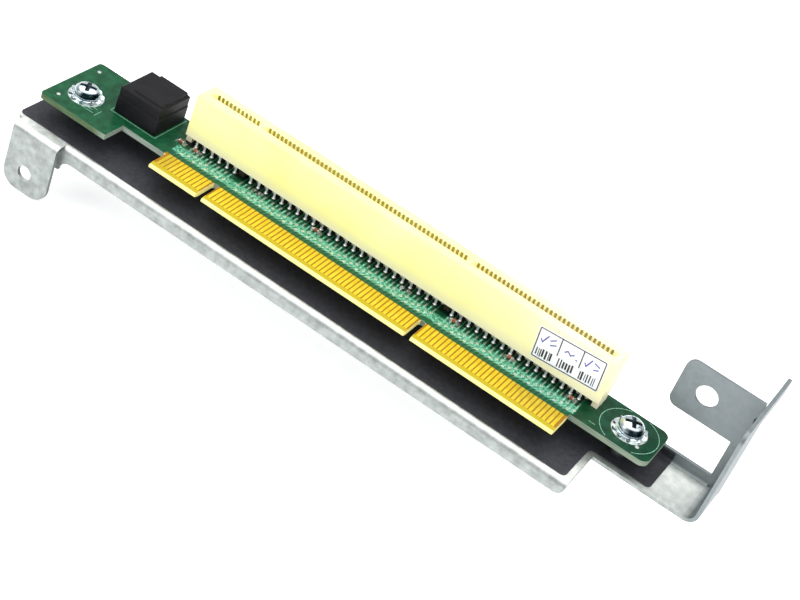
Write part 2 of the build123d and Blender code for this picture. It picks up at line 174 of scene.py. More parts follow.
world = bpy.data.worlds.new("studio")
world.use_nodes = True
sky = world.node_tree.nodes["Background"]
sky.inputs["Color"].default_value = linear(sky_tone)
sky.inputs["Strength"].default_value = sky_strength
bpy.context.scene.world = world
bpy.context.scene.view_settings.view_transform = "Standard"

# Bracket: one blank of mild steel sheet, punched, folded on a brake and bright zinc plated. The
# plating gives a pale, faintly cloudy grey. Painted light is put in its colour: a painted
# reflection of the softbox where the sheet lies flat, painted shade where it stands and on faces
# turned to the right, and darker painted shade on the lip and the end flange.
bracket_ease = 0.14
cloud_size = 2.4
cloud_depth = 0.02
grain_size = 0.3  # coarser than real rolling marks, so that it shows
grain_depth = 0.005
grain_stretch = 0.3
# Painted highlight and shade: lighter tones where the sheet lies flat, darker where it stands.
standing_shade_tones = ((0.34, "#8c918f"), (0.68, "#b0b5b3"))
flat_highlight_tones = ((0.34, "#dbe0da"), (0.68, "#f6f8f5"))
# Painted shade on the lip and the end flange.
end_shade_tones = ((0.3, "#7f8688"), (0.7, "#8f9698"))
# Painted shade on faces turned to the right.
right_face_shade_tone = "#7d8280"
lies_flat = {"From Min": 0.5, "From Max": 0.95}  # Z of the surface's direction
faces_right = {"From Min": 0.6, "From Max": 0.9}  # X of its direction
past_lip = {"From Min": 24.4, "From Max": 25.2}  # Y of the lip and the end tab
past_fold = {"From Min": 157.0, "From Max": 158.6}  # X where the end flange folds up


def eased(node, width, sharp=32, steps=2):
    """A CAD node's shape in mm, with its sharp edges eased by a width as tooling leaves them."""
    shape = bmesh.new()
    shape.from_mesh(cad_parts[node].data)
    bmesh.ops.scale(shape, vec=(1 / MM,) * 3, verts=shape.verts)
    bmesh.ops.remove_doubles(shape, verts=shape.verts, dist=0.001)
    flat = math.radians(0.5)
    bmesh.ops.dissolve_limit(shape, angle_limit=flat, verts=shape.verts[:], edges=shape.edges[:])
    edges = [
        edge
        for edge in shape.edges
        if len(edge.link_faces) == 2 and edge.calc_face_angle(0) > math.radians(sharp)
    ]
    bmesh.ops.bevel(
        shape,
        geom=edges,
        offset=width,
        offset_type="OFFSET",
        segments=steps,
        profile=0.5,
        affect="EDGES",
        clamp_overlap=True,
    )
    return shape


def fit(name, shape, material, slot, *replaced, crease=38):
    """Makes a shape in mm a piece of the card, which stands for the CAD nodes named last."""
    bmesh.ops.scale(shape, vec=(MM,) * 3, verts=shape.verts)
    bmesh.ops.recalc_face_normals(shape, faces=shape.faces)
    mesh = bpy.data.meshes.new(name)
    shape.to_mesh(mesh)
    shape.free()
    mesh.polygons.foreach_set("use_smooth", [True] * len(mesh.polygons))
    mesh.set_sharp_from_angle(angle=math.radians(crease))
    mesh.materials.append(material)
    piece = bpy.data.objects.new(name, mesh)
    bpy.context.scene.collection.objects.link(piece)
    level = piece.modifiers.new("flat_faces_shade_flat", "WEIGHTED_NORMAL")
    level.keep_sharp = True
    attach(piece, "root")
    if replaced:
        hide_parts(*replaced)
    return piece


zinc, tree, shader, place = new_material("bright_zinc_on_sheet_steel", {"Metallic": 1.0})
axes = add(tree, "SeparateXYZ", links={0: place})
clouds = add(
    tree, "TexNoise", {"Scale": 1 / cloud_size, "Detail": 4.0, "Roughness": 0.6}, {"Vector": place}
)
rolled = add(tree, "Mapping", {"Scale": (grain_stretch, 1.0, 1.0)}, {"Vector": place})
grain = add(tree, "TexNoise", {"Scale": 1 / grain_size, "Detail": 2.0}, {"Vector": rolled})
# Painted shade on the lip and the end flange: a darker grey by position.
on_lip = add(tree, "MapRange", past_lip, {0: axes.outputs[1]})
on_flange = add(tree, "MapRange", past_fold, {0: axes.outputs[0]})
end_shade = add(tree, "Math", {"operation": "MAXIMUM"}, {0: on_lip, 1: on_flange})
# Painted highlight where the sheet lies flat, painted shade where it stands.
standing_shade_tone = add(tree, "ValToRGB", {"stops": standing_shade_tones}, {0: clouds})
flat_highlight_tone = add(tree, "ValToRGB", {"stops": flat_highlight_tones}, {0: clouds})
facing = add(tree, "SeparateXYZ", links={0: add(tree, "NewGeometry").outputs["True Normal"]})
flat_highlight = add(tree, "MapRange", lies_flat, {0: facing.outputs[2]})
lit_and_shaded_tone = add(tree, "MixRGB", links={0: flat_highlight, 1: standing_shade_tone, 2: flat_highlight_tone})
# Painted shade on faces turned to the right.
right_face_shade = add(tree, "MapRange", faces_right, {0: facing.outputs[0]})
bright_tone = add(tree, "MixRGB", {2: right_face_shade_tone}, {0: right_face_shade, 1: lit_and_shaded_tone})
end_shade_tone = add(tree, "ValToRGB", {"stops": end_shade_tones}, {0: clouds})
tone = add(tree, "MixRGB", links={0: end_shade, 1: bright_tone, 2: end_shade_tone})
gloss = add(tree, "MapRange", {"To Min": 0.42, "To Max": 0.62}, {0: clouds})
waves = add(tree, "Bump", {"Distance": cloud_depth * MM}, {"Height": clouds})
scratches = add(tree, "Bump", {"Distance": grain_depth * MM}, {"Height": grain, "Normal": waves})
link(tree, shader, {"Base Color": tone, "Roughness": gloss, "Normal": scratches})

fit("bracket_sheet", eased("bracket", bracket_ease), zinc, "zinc_steel", "bracket")

# Pressed metal of the same sheet: the press closed the corner between the tray's lip and the
# flange, and the sheet runs on a little behind the left tab. A dark block in the relief cut under
# the ear is painted shade, standing in for the shade inside the notch.
fold_middle_x, fold_middle_z = 157.4, -4.6
fold_inside, fold_outside = 2.4, 3.4
fold_angle = 66  # degrees of the fold that the corner follows
fold_steps = 8
corner_front, corner_back = 24.4, 26.4
lip_end = (157.3, 159.3, -7.3, -6.0)  # left, right, bottom and top
lip_end_front = 25.52
web_sides = (-24.9, -23.4, -14.3, -8.0)  # in the same order
web_front, web_back = -5.2, -4.2
relief_sides = (158.95, 160.65, 24.8, 26.2)  # left, right, front and back
relief_bottom, relief_top = 16.05, 17.05
notch_shade_size = 0.6
notch_shade_tones = ((0.35, "#2c2f31"), (0.7, "#5a5f62"))


def oblong(left, right, low, high):
    """The four corners of a rectangle, in order round it."""
    return [(left, low), (right, low), (right, high), (left, high)]


def slab(shape, outline, low, high, lay=lambda u, v, w: (u, v, w)):
    """Adds a closed slab: an outline raised from low to high, laid on the card by a function."""
    under, over = ([shape.verts.new(lay(u, v, w)) for u, v in outline] for w in (low, high))
    shape.faces.new(under)
    shape.faces.new(over)
    for i in range(len(outline)):
        shape.faces.new((under[i - 1], under[i], over[i], over[i - 1]))


def upright(u, v, w):
    """Stands a slab up: u to the right, v up, and its thickness towards the back."""
    return (u, w, v)


def grained(name, surface, size, detail, tones, gloss=None, depth=None):
    """A material that gets its tones, and maybe its gloss and relief, from one fine grain."""
    material, tree, shader, place = new_material(name, surface)
    grain = add(tree, "TexNoise", {"Scale": 1 / size, "Detail": detail}, {"Vector": place})
    looks = {"Base Color": add(tree, "ValToRGB", {"stops": tones}, {0: grain})}
    if gloss:
        limits = {"To Min": gloss[0], "To Max": gloss[1]}
        looks["Roughness"] = add(tree, "MapRange", limits, {0: grain})
    if depth:
        looks["Normal"] = add(tree, "Bump", {"Distance": depth * MM}, {"Height": grain})
    link(tree, shader, looks)
    return material


fold_arc = [math.radians(-90 + fold_angle * step / fold_steps) for step in range(fold_steps + 1)]
fold_outline = [
    (fold_middle_x + reach * math.cos(angle), fold_middle_z + reach * math.sin(angle))
    for reach, arc in ((fold_inside, fold_arc), (fold_outside, fold_arc[::-1]))
    for angle in arc
]
closed_corner = bmesh.new()
slab(closed_corner, fold_outline, corner_front, corner_back, upright)
slab(closed_corner, oblong(*lip_end), lip_end_front, corner_back, upright)
fit("pressed_corner", closed_corner, zinc, "zinc_steel")

web = bmesh.new()
slab(web, oblong(*web_sides), web_front, web_back, upright)
fit("web_behind_tab", web, zinc, "zinc_steel")

# Painted shade: a dark block fills the relief cut, standing in for the shade inside the notch.
notch_shade_surface = {"Metallic": 1.0, "Roughness": 0.6}
notch_shade = grained("painted_shade_in_relief_cut", notch_shade_surface, notch_shade_size, 3.0, notch_shade_tones)
notch_shade_block = bmesh.new()
slab(notch_shade_block, oblong(*relief_sides), relief_bottom, relief_top)
fit("relief_cut_painted_shade", notch_shade_block, notch_shade, "zinc_steel")

# Insulating film: matt black polypropylene sheet, die-cut and glued to the tray. It is nearly
# black with a blue cast, faintly pebbled and slightly wavy, with a little dust on it. Its punched
# holes have shrunk to the standoffs.
film_ease = 0.06
film_bed = -7.0
rim_inside, rim_outside = 3.02, 3.75
rim_low, rim_high = 0.02, 0.22  # above the bed
pebble_size = 0.5
pebble_depth = 0.02
swell_size = 20
swell_depth = 0.3
dust_size = 1.4
film_tones = ((0.4, "#26272c"), (0.75, "#393a41"))

film_finish, tree, shader, place = new_material("matt_black_polypropylene", {
    "Roughness": 0.58,
    "IOR": 1.49,
    "Specular IOR Level": 0.4,
})
dust = add(
    tree, "TexNoise", {"Scale": 1 / dust_size, "Detail": 6.0, "Roughness": 0.7}, {"Vector": place}
)
tone = add(tree, "ValToRGB", {"stops": film_tones}, {0: dust})
pebbles = add(tree, "TexNoise", {"Scale": 1 / pebble_size, "Detail": 2.0}, {"Vector": place})
swell = add(tree, "TexNoise", {"Scale": 1 / swell_size, "Detail": 1.0}, {"Vector": place})
pebbled = add(tree, "Bump", {"Distance": pebble_depth * MM}, {"Height": pebbles})
wavy = add(tree, "Bump", {"Distance": swell_depth * MM}, {"Height": swell, "Normal": pebbled})
link(tree, shader, {"Base Color": tone, "Normal": wavy})


def turned(shape, centre, profile, steps):
    """Adds a form of revolution from radii and heights. It is a ring if none of them is 0."""
    rings = []
    for radius, height in profile:
        angles = [2 * math.pi * k / steps for k in range(steps if radius else 1)]
        rings.append([
            shape.verts.new((
                centre[0] + radius * math.cos(angle),
                centre[1] + radius * math.sin(angle),
                centre[2] + height,
            ))
            for angle in angles
        ])
    pairs = list(zip(rings, rings[1:]))
    if profile[0][0]:
        pairs.append((rings[-1], rings[0]))
    for low, high in pairs:
        for k in range(steps):
            last = (k + 1) % steps
            lower = [low[k % len(low)], low[last % len(low)]]
            upper = [high[last % len(high)], high[k % len(high)]]
            shape.faces.new(dict.fromkeys(lower + upper))


film_shape = eased("insulator_film", film_ease)
for side in ("left", "right"):
    low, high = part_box(f"{side}_standoff")
    bed_centre = (*((low + high) / 2 / MM).xy, film_bed)
    turned(film_shape, bed_centre, oblong(rim_inside, rim_outside, rim_low, rim_high), 40)
fit("film_sheet", film_shape, film_finish, "black_film", "insulator_film")

# Standoffs: turned from steel bar, zinc plated and swaged into the tray. Their sides show in the
# gap under the board, with the turning marks running round them.
standoff_ease = 0.12
turning_pitch = 0.15
turning_depth = 0.01
turning_stretch = 0.02

turned_zinc, tree, shader, place = new_material("zinc_on_turned_steel", {
    "Base Color": "#7b807e",
    "Metallic": 1.0,
})
round_it = {"Scale": (turning_stretch, turning_stretch, 1.0)}
lathed = add(tree, "Mapping", round_it, {"Vector": place})
rings = add(tree, "TexNoise", {"Scale": 1 / turning_pitch, "Detail": 2.0}, {"Vector": lathed})
gloss = add(tree, "MapRange", {"To Min": 0.28, "To Max": 0.42}, {0: rings})
ringed = add(tree, "Bump", {"Distance": turning_depth * MM}, {"Height": rings})
link(tree, shader, {"Roughness": gloss, "Normal": ringed})

for side in ("left", "right"):
    node = f"{side}_standoff"
    fit(f"{side}_standoff_body", eased(node, standoff_ease), turned_zinc, "standoff_steel", node)

# Circuit board: woven glass and epoxy, routed, with green solder resist. The resist stops at the
# fingers, where bare ochre laminate shows between the pads, and the routed edge is pale. Between
# the fingers and the socket the copper pour shows through it, in paler and speckled green.
pitch = 1.27
contact_groups = (11, 49, 32)
key_places = 3  # contact places that a key takes
board_ease = 0.05
tip_bare = 0.45  # laminate left bare in front of the pads
pad_margin = 0.1  # bare behind the pads
tab_margin = 1.3  # from an end pad to beyond the tab's side
face_limit = 0.98  # how squarely a face looks up or down; less is a cut side
pour_size = 2.6
pour_depth = 0.04
speckle_size = 0.7
layer_size = 0.8
layer_scale = (0.15, 0.15, 6.0)  # the layers lie along the board
left_greens = ((0.4, "#104429"), (0.62, "#1b5838"))
right_greens = ((0.4, "#063420"), (0.62, "#0d452c"))
pour_greens = ((0.42, "#1c6a4a"), (0.5, "#4f9c7e"), (0.64, "#8ccab2"))
beside_pads_green = "#0c5233"
# Painted shade: near the socket the resist is darkened, standing in for the shade under it.
socket_shade_green = "#04140c"
tip_ochre = "#b5a01e"
glass_cloth = {"Scale": 1 / 0.45, "Color1": "#a87612", "Color2": "#8f620d"}  # threads 0.45 apart
cut_tones = ((0.1, "#5b7350"), (0.125, "#a3b2a6"), (0.9, "#8fa08c"))
bevel_tones = ((0.3, "#e6d87c"), (0.7, "#f6eda8"))
fibre_tones = ((0.3, "#b9b9b9"), (0.7, "#ffffff"))
pour_begins = {"From Min": 9.9, "From Max": 10.3}  # these four are in Y
pour_ends = {"From Min": 13.9, "From Max": 12.9}
dark_by_pads = {"From Min": 10.1, "From Max": 9.5}
socket_shade_by_y = {"From Min": 15.0, "From Max": 15.7}
times = {"operation": "MULTIPLY"}
(board_left, _, board_bottom), (board_right, _, board_top) = (
    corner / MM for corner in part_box("circuit_board")
)
pad_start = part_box("top_fingers_middle")[0].y / MM + tip_bare
pad_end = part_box("top_fingers_middle")[1].y / MM
tab_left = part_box("top_fingers_first")[0].x / MM - tab_margin
tab_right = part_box("top_fingers_last")[1].x / MM + tab_margin

laminate, tree, shader, place = new_material("green_resist_on_glass_epoxy", {
    "IOR": 1.52,
    "Specular IOR Level": 0.17,
})
axes = add(tree, "SeparateXYZ", links={0: place})
facing = add(tree, "SeparateXYZ", links={0: add(tree, "NewGeometry").outputs["Normal"]})
squareness = add(tree, "Math", {"operation": "ABSOLUTE"}, {0: facing.outputs[2]})
is_face = add(tree, "Math", {"operation": "GREATER_THAN", 1: face_limit}, {0: squareness})
pour = add(
    tree, "TexNoise", {"Scale": 1 / pour_size, "Detail": 4.0, "Roughness": 0.6}, {"Vector": place}
)
left_green = add(tree, "ValToRGB", {"stops": left_greens}, {0: pour})
right_green = add(tree, "ValToRGB", {"stops": right_greens}, {0: pour})
board_length = {"From Min": board_left, "From Max": board_right}
along = add(tree, "MapRange", board_length, {0: axes.outputs[0]})
lengthwise = add(tree, "MixRGB", links={0: along, 1: left_green, 2: right_green})
speckled = {"Scale": 1 / speckle_size, "Detail": 3.0, "Roughness": 0.7}
speckle = add(tree, "TexNoise", speckled, {"Vector": place})
ground = add(tree, "ValToRGB", {"stops": pour_greens}, {0: speckle})
band_start = add(tree, "MapRange", pour_begins, {0: axes.outputs[1]})
band_end = add(tree, "MapRange", pour_ends, {0: axes.outputs[1]})
band = add(tree, "Math", times, {0: band_start, 1: band_end})
weave = add(tree, "TexChecker", glass_cloth, {0: place})
tip_side = add(tree, "Math", {"operation": "LESS_THAN", 1: pad_start}, {0: axes.outputs[1]})
bare = add(tree, "MixRGB", {2: tip_ochre}, {0: tip_side, 1: weave})
before_resist = {"operation": "LESS_THAN", 1: pad_end + pad_margin}
in_front = add(tree, "Math", before_resist, {0: axes.outputs[1]})
past_left = add(tree, "Math", {"operation": "GREATER_THAN", 1: tab_left}, {0: axes.outputs[0]})
before_right = add(tree, "Math", {"operation": "LESS_THAN", 1: tab_right}, {0: axes.outputs[0]})
across = add(tree, "Math", times, {0: past_left, 1: before_right})
is_tab = add(tree, "Math", times, {0: across, 1: in_front})
poured = add(tree, "Math", times, {0: across, 1: band})
copper_shows = add(tree, "MixRGB", links={0: poured, 1: lengthwise, 2: ground})
near_pads = add(tree, "MapRange", dark_by_pads, {0: axes.outputs[1]})
beside_pads = add(tree, "Math", times, {0: across, 1: near_pads})
beside = add(tree, "MixRGB", {2: beside_pads_green}, {0: beside_pads, 1: copper_shows})
# Painted shade under the socket.
socket_shade = add(tree, "MapRange", socket_shade_by_y, {0: axes.outputs[1]})
painted_socket_shade = add(tree, "Math", times, {0: across, 1: socket_shade})
resist = add(tree, "MixRGB", {2: socket_shade_green}, {0: painted_socket_shade, 1: beside})
face_tone = add(tree, "MixRGB", links={0: is_tab, 1: resist, 2: bare})
layered = add(tree, "Mapping", {"Scale": layer_scale}, {"Vector": place})
layers = add(tree, "TexNoise", {"Scale": 1 / layer_size, "Detail": 3.0}, {"Vector": layered})
fibres = add(tree, "ValToRGB", {"stops": fibre_tones}, {0: layers})
cut_side = add(tree, "ValToRGB", {"stops": cut_tones}, {0: along})
routed = add(tree, "MixRGB", {"blend_type": "MULTIPLY", 0: 1.0}, {1: cut_side, 2: fibres})
bevelled = add(tree, "ValToRGB", {"stops": bevel_tones}, {0: layers})
edge_tone = add(tree, "MixRGB", links={0: is_tab, 1: routed, 2: bevelled})
tone = add(tree, "MixRGB", links={0: is_face, 1: edge_tone, 2: face_tone})
coated = add(tree, "Math", {"operation": "MULTIPLY_ADD", 1: -1.0, 2: 1.0}, {0: is_tab})
glossy = add(tree, "Math", times, {0: is_face, 1: coated})
gloss = add(tree, "MapRange", {"To Min": 0.65, "To Max": 0.3}, {0: glossy})
relief = add(tree, "Bump", {"Distance": pour_depth * MM}, {"Height": pour})
link(tree, shader, {"Base Color": tone, "Roughness": gloss, "Normal": relief})

board_shape = eased("circuit_board", board_ease, sharp=60, steps=1)
fit("board_laminate", board_shape, laminate, "green_board", "circuit_board")

# Gold fingers: copper pads with hard gold over nickel, on both faces of the tab. Plugging has
# left faint streaks along them, and the plating is a warm satin yellow.
pad_width = 0.88
pad_corner = 0.2
pad_corner_steps = 3
pad_plating = 0.05
streak_size = 0.3
streak_depth = 0.006
streak_stretch = 0.12
gold_tones = ((0.3, "#dcbe2a"), (0.7, "#f2da4c"))

hard_gold, tree, shader, place = new_material("hard_gold_on_nickel", {"Metallic": 1.0})
wiped = add(tree, "Mapping", {"Scale": (1.0, streak_stretch, 1.0)}, {"Vector": place})
streaks = add(tree, "TexNoise", {"Scale": 1 / streak_size, "Detail": 3.0}, {"Vector": wiped})
tone = add(tree, "ValToRGB", {"stops": gold_tones}, {0: streaks})
gloss = add(tree, "MapRange", {"To Min": 0.28, "To Max": 0.46}, {0: streaks})
worn = add(tree, "Bump", {"Distance": streak_depth * MM}, {"Height": streaks})
link(tree, shader, {"Base Color": tone, "Roughness": gloss, "Normal": worn})

contact_xs = []
for count in contact_groups:
    first = contact_xs[-1] + key_places * pitch if contact_xs else 0.0
    contact_xs += [first + i * pitch for i in range(count)]

places_left = list(contact_xs)
for group, count in zip(("first", "middle", "last"), contact_groups):
    group_xs, places_left = places_left[:count], places_left[count:]
    for face, low, high in (
        ("top", board_top, board_top + pad_plating),
        ("bottom", board_bottom - pad_plating, board_bottom),
    ):
        pads = bmesh.new()
        for x in group_xs:
            left, right = x - pad_width / 2, x + pad_width / 2
            outline = [(left, pad_start), (right, pad_start)]
            for centre_x, first_turn in ((right - pad_corner, 0), (left + pad_corner, 90)):
                for step in range(pad_corner_steps + 1):
                    angle = math.radians(first_turn + 90 * step / pad_corner_steps)
                    outline.append((
                        centre_x + pad_corner * math.cos(angle),
                        pad_end - pad_corner + pad_corner * math.sin(angle),
                    ))
            slab(pads, outline, low, high)
        node = f"{face}_fingers_{group}"
        fit(f"{node}_pads", pads, hard_gold, "finger_gold", node)

# Tracks: etched copper under the resist, which shows them a paler green. Each finger's track jogs
# sideways to its socket contact, and passes a plated via on the way; the bare lands are tinned.
socket_middle = 19.8
socket_offset = 1.5  # a socket contact stands this far right of its finger
outer_row, inner_row = 3.15, 1.05  # from the socket's middle
track_width = 0.42
track_rise = 0.03
track_lap = 0.1  # a track runs this far under its pad
jog_start = 9.5
via_rows = (10.7, 11.7, 12.7)
via_radius = 0.46
via_bore = 0.16
land_slope = 0.06
land_rise = 0.05
inner_land_front, inner_land_back = 13.9, 15.0
inner_land_width = 0.5
inner_land_rise = 0.06
mottle_size = 0.9
mottle_depth = 0.02
track_greens = ((0.36, "#2f8664"), (0.52, "#6cb598"), (0.68, "#b4e2d0"))
# Dark green outside the pale band: beside the pads the board's own darker green, towards the socket
# painted shade.
dark_and_shaded_track = "#0d4f31"
pale_begins = {"From Min": 9.4, "From Max": 10.2}  # in Y
pale_ends = {"From Min": 15.4, "From Max": 14.8}


def ribbon(shape, path, width, low, high, lay=lambda u, v, w: (u, v, w)):
    """Adds a strip of even width along a path, with mitred bends."""
    path = [Vector(point) for point in path]
    left, right = [], []
    for i, here in enumerate(path):
        ahead = (path[min(i + 1, len(path) - 1)] - path[min(i, len(path) - 2)]).normalized()
        behind = (path[max(i, 1)] - path[max(i - 1, 0)]).normalized()
        way = (ahead + behind).normalized()
        out = Vector((-way.y, way.x)) * width / 2 / way.dot(ahead)
        left.append(here + out)
        right.append(here - out)
    slab(shape, left + right[::-1], low, high, lay)


masked_copper, tree, shader, place = new_material("resist_over_copper", {
    "Roughness": 0.32,
    "IOR": 1.52,
})
mottled = {"Scale": 1 / mottle_size, "Detail": 3.0, "Roughness": 0.7}
mottle = add(tree, "TexNoise", mottled, {"Vector": place})
pale = add(tree, "ValToRGB", {"stops": track_greens}, {0: mottle})
axes = add(tree, "SeparateXYZ", links={0: place})
from_pads = add(tree, "MapRange", pale_begins, {0: axes.outputs[1]})
to_socket = add(tree, "MapRange", pale_ends, {0: axes.outputs[1]})
open_part = add(tree, "Math", times, {0: from_pads, 1: to_socket})
# Painted shade on the tracks towards the socket; beside the pads the darker green is real.
tone = add(tree, "MixRGB", {1: dark_and_shaded_track}, {0: open_part, 2: pale})
lifted = add(tree, "Bump", {"Distance": mottle_depth * MM}, {"Height": mottle})
link(tree, shader, {"Base Color": tone, "Normal": lifted})

tracks = bmesh.new()
vias = bmesh.new()
via_land = (
    (via_bore, 0.0), (via_radius, 0.0), (via_radius - land_slope, land_rise), (via_bore, land_rise),
)
for place_no, x in enumerate(contact_xs):
    row = socket_middle - (inner_row if place_no % 2 else outer_row)
    landed_x = x + socket_offset
    route = [(x, pad_end - track_lap), (x, jog_start), (landed_x, jog_start + socket_offset)]
    ribbon(tracks, route + [(landed_x, row)], track_width, board_top, board_top + track_rise)
    via_y = via_rows[place_no % 3]
    slip = min(max(via_y - jog_start, 0.0), socket_offset)
    turned(vias, (x + slip, via_y, board_top), via_land, 12)
    if place_no % 2:
        inner_land = ((landed_x, inner_land_front), (landed_x, inner_land_back))
        ribbon(vias, inner_land, inner_land_width, board_top, board_top + inner_land_rise)
fit("tracks", tracks, masked_copper, "green_board")

# Solder: bright tin alloy, wetted up every contact tail on the top face and pulled to a cone round
# its cropped end underneath. Bare lands, vias and the rings under the screws carry the same tin.
tail_drop = 1.4  # tail below the board
fillet_radius = 0.6
pin_pitch = 4.2  # of the receptacle's six pins
washer_reach = 4.7
screw_hole = 2.0
frost_size = 0.35
frost_depth = 0.02
tin_tones = ((0.3, "#c3c8c6"), (0.7, "#f1f4f2"))
top_fillet = ((0, 0.5), (0.24, 0.5), (0.3, 0.24), (0.44, 0.08), (fillet_radius, 0.0), (0, 0.0))
bottom_cone = (
    (0, -tail_drop), (0.2, -tail_drop), (0.24, -0.8), (0.36, -0.35), (fillet_radius, 0.0), (0, 0.0),
)
pin_cone = ((0, -1.3), (0.35, -1.3), (0.5, -0.7), (0.75, -0.25), (1.1, 0.0), (0, 0.0))
screw_land = (
    (screw_hole, 0.0), (washer_reach + 0.15, 0.0), (washer_reach + 0.1, 0.04), (screw_hole, 0.04),
)

solder = grained(
    "tin_solder", {"Metallic": 1.0}, frost_size, 3.0, tin_tones, (0.22, 0.5), frost_depth
)

screw_places = []
for side in ("left", "right"):
    low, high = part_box(f"{side}_screw")
    screw_places.append(((low + high) / 2 / MM).xy)
for centre in screw_places:
    turned(vias, (*centre, board_top), screw_land, 48)
fit("tinned_lands", vias, solder, "pin_tin")

joints = bmesh.new()
for place_no, x in enumerate(contact_xs):
    for side in (-1, 1):
        y = socket_middle + side * (inner_row if place_no % 2 else outer_row)
        turned(joints, (x + socket_offset, y, board_top), top_fillet, 10)
        turned(joints, (x + socket_offset, y, board_bottom), bottom_cone, 8)
receptacle_low, receptacle_high = (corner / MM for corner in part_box("receptacle_housing"))
receptacle_middle = (receptacle_low + receptacle_high) / 2
for column in (-1, 0, 1):
    for side in (-1, 1):
        y = receptacle_middle.y + side * pin_pitch / 2
        turned(joints, (receptacle_middle.x + column * pin_pitch, y, board_bottom), pin_cone, 14)
fit("solder_joints", joints, solder, "pin_tin")

# Screen print: white epoxy ink, a ring round the right screw, the receptacle's outline and ticks
# beside the left screw and the socket. The fiducial dots are bare tinned copper.
ink_width = 0.18
ink_rise = 0.02
screw_ring = 7.8
ring_start, ring_sweep = -62, 304  # degrees
ring_steps = 96
ring_back = 24.5  # the ring stops before the board's back edge, and before its right one
ring_margin = 0.3
outline_gap = 0.5  # from the receptacle to its printed outline
outline_left = receptacle_low.x - outline_gap
outline_right = receptacle_high.x + outline_gap
outline_front = receptacle_low.y - outline_gap
outline_back = receptacle_high.y + 0.3
marks_along = (  # left, right and Y
    (outline_left, outline_right, outline_front),
    (-27.2, -23.4, 4.4),
    (-27.2, -24.4, 5.4),
    (-26.6, -23.8, 6.6),
    (126.4, 128.2, 11.4),
)
marks_across = (  # X, front and back
    (outline_right, outline_front, outline_back),
    (outline_left, outline_front, outline_back),
    (-22.6, 3.6, 6.9),
)
fiducials = ((-34.0, 3.15), (-34.65, 21.0), (139.4, 13.2))
fiducial_dot = ((0, 0.0), (0.55, 0.0), (0.5, 0.04), (0, 0.04))
grit_size = 0.4
ink_tones = ((0.42, "#5f967d"), (0.62, "#9cc7b3"))  # worn thin, so that the green shows through

ink = grained("white_epoxy_ink", {"Roughness": 0.6}, grit_size, 4.0, ink_tones)

print_marks = bmesh.new()
ring_x, ring_y = screw_places[1]
ring_points = []
for step in range(ring_steps + 1):
    angle = math.radians(ring_start + ring_sweep * step / ring_steps)
    x, y = ring_x + screw_ring * math.cos(angle), ring_y + screw_ring * math.sin(angle)
    if y < ring_back and x < board_right - ring_margin:
        ring_points.append((x, y))
strokes = [
    (first, last)
    for first, last in zip(ring_points, ring_points[1:])
    if math.dist(first, last) < 1.0  # not across a part that was left out
]
strokes += [((left, y), (right, y)) for left, right, y in marks_along]
strokes += [((x, front), (x, back)) for x, front, back in marks_across]
for stroke in strokes:
    ribbon(print_marks, stroke, ink_width, board_top, board_top + ink_rise)
fit("screen_print", print_marks, ink, "green_board")

dots = bmesh.new()
for x, y in fiducials:
    turned(dots, (x, y, board_top), fiducial_dot, 20)
fit("fiducial_dots", dots, solder, "pin_tin")

# Socket moulding: glass-filled polyester, injection moulded in ivory with a silky skin. The light
# sinks a little way in. The thin walls of the card slot are given a faint painted glow, an emission
# standing in for light through them. The mould's drafted cells for the contacts open into the
# slot, and near the board they are painted in deep shade.
cell_width = 0.72
cell_inside, cell_outside = 0.7, 1.14  # from the slot's middle
mouth_bottom = 13.2
mouth_clearance = 0.5
socket_ease = 0.16
end_wall = 1.9
inside_half = 3.7  # from the middle to the outer side of the contacts' chamber
dark_below, shade_height = 3.5, 3.0
flow_size = 18
flow_depth = 0.1
glass_size = 0.5
glass_depth = 0.012
yellow_tones = ((0.35, "#faf29c"), (0.65, "#fdf8ae"))
cream_tones = ((0.35, "#f9f0b8"), (0.65, "#fcf5c8"))
foot_tone = "#f6eccb"
shade_tone = "#2a2414"
# Painted light: an emission colour that makes the slot's walls glow, standing in for light through
# them.
painted_glow_tone = "#f7e9a6"
yellow_to_cream = {"From Min": 60.0, "From Max": 118.0}  # in X
foot_to_skin = {"From Min": 2.0, "From Max": 5.0}  # in Z
near_slot = {"From Min": 1.7, "From Max": 1.2}  # from the socket's middle
out_of_depth = {"From Min": 6.0, "From Max": 12.0}  # in Z
(socket_left, _, _), (socket_right, _, socket_top) = (
    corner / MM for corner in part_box("connector_housing")
)
socket_centre = (socket_left + socket_right) / 2
inside_length = (socket_right - socket_left) / 2 - end_wall


def cut(shape, tool):
    """What is left of a shape when a tool has been cut out of it."""
    bodies = []
    for body in (shape, tool):
        bmesh.ops.recalc_face_normals(body, faces=body.faces)
        mesh = bpy.data.meshes.new("cutting")
        body.to_mesh(mesh)
        body.free()
        bodies.append(bpy.data.objects.new("cutting", mesh))
        bpy.context.scene.collection.objects.link(bodies[-1])
    step = bodies[0].modifiers.new("cutting", "BOOLEAN")
    step.operation = "DIFFERENCE"
    step.solver = "EXACT"
    step.object = bodies[1]
    left = bmesh.new()
    left.from_object(bodies[0], bpy.context.evaluated_depsgraph_get())
    for body in bodies:
        mesh = body.data
        bpy.data.objects.remove(body)
        bpy.data.meshes.remove(mesh)
    return left


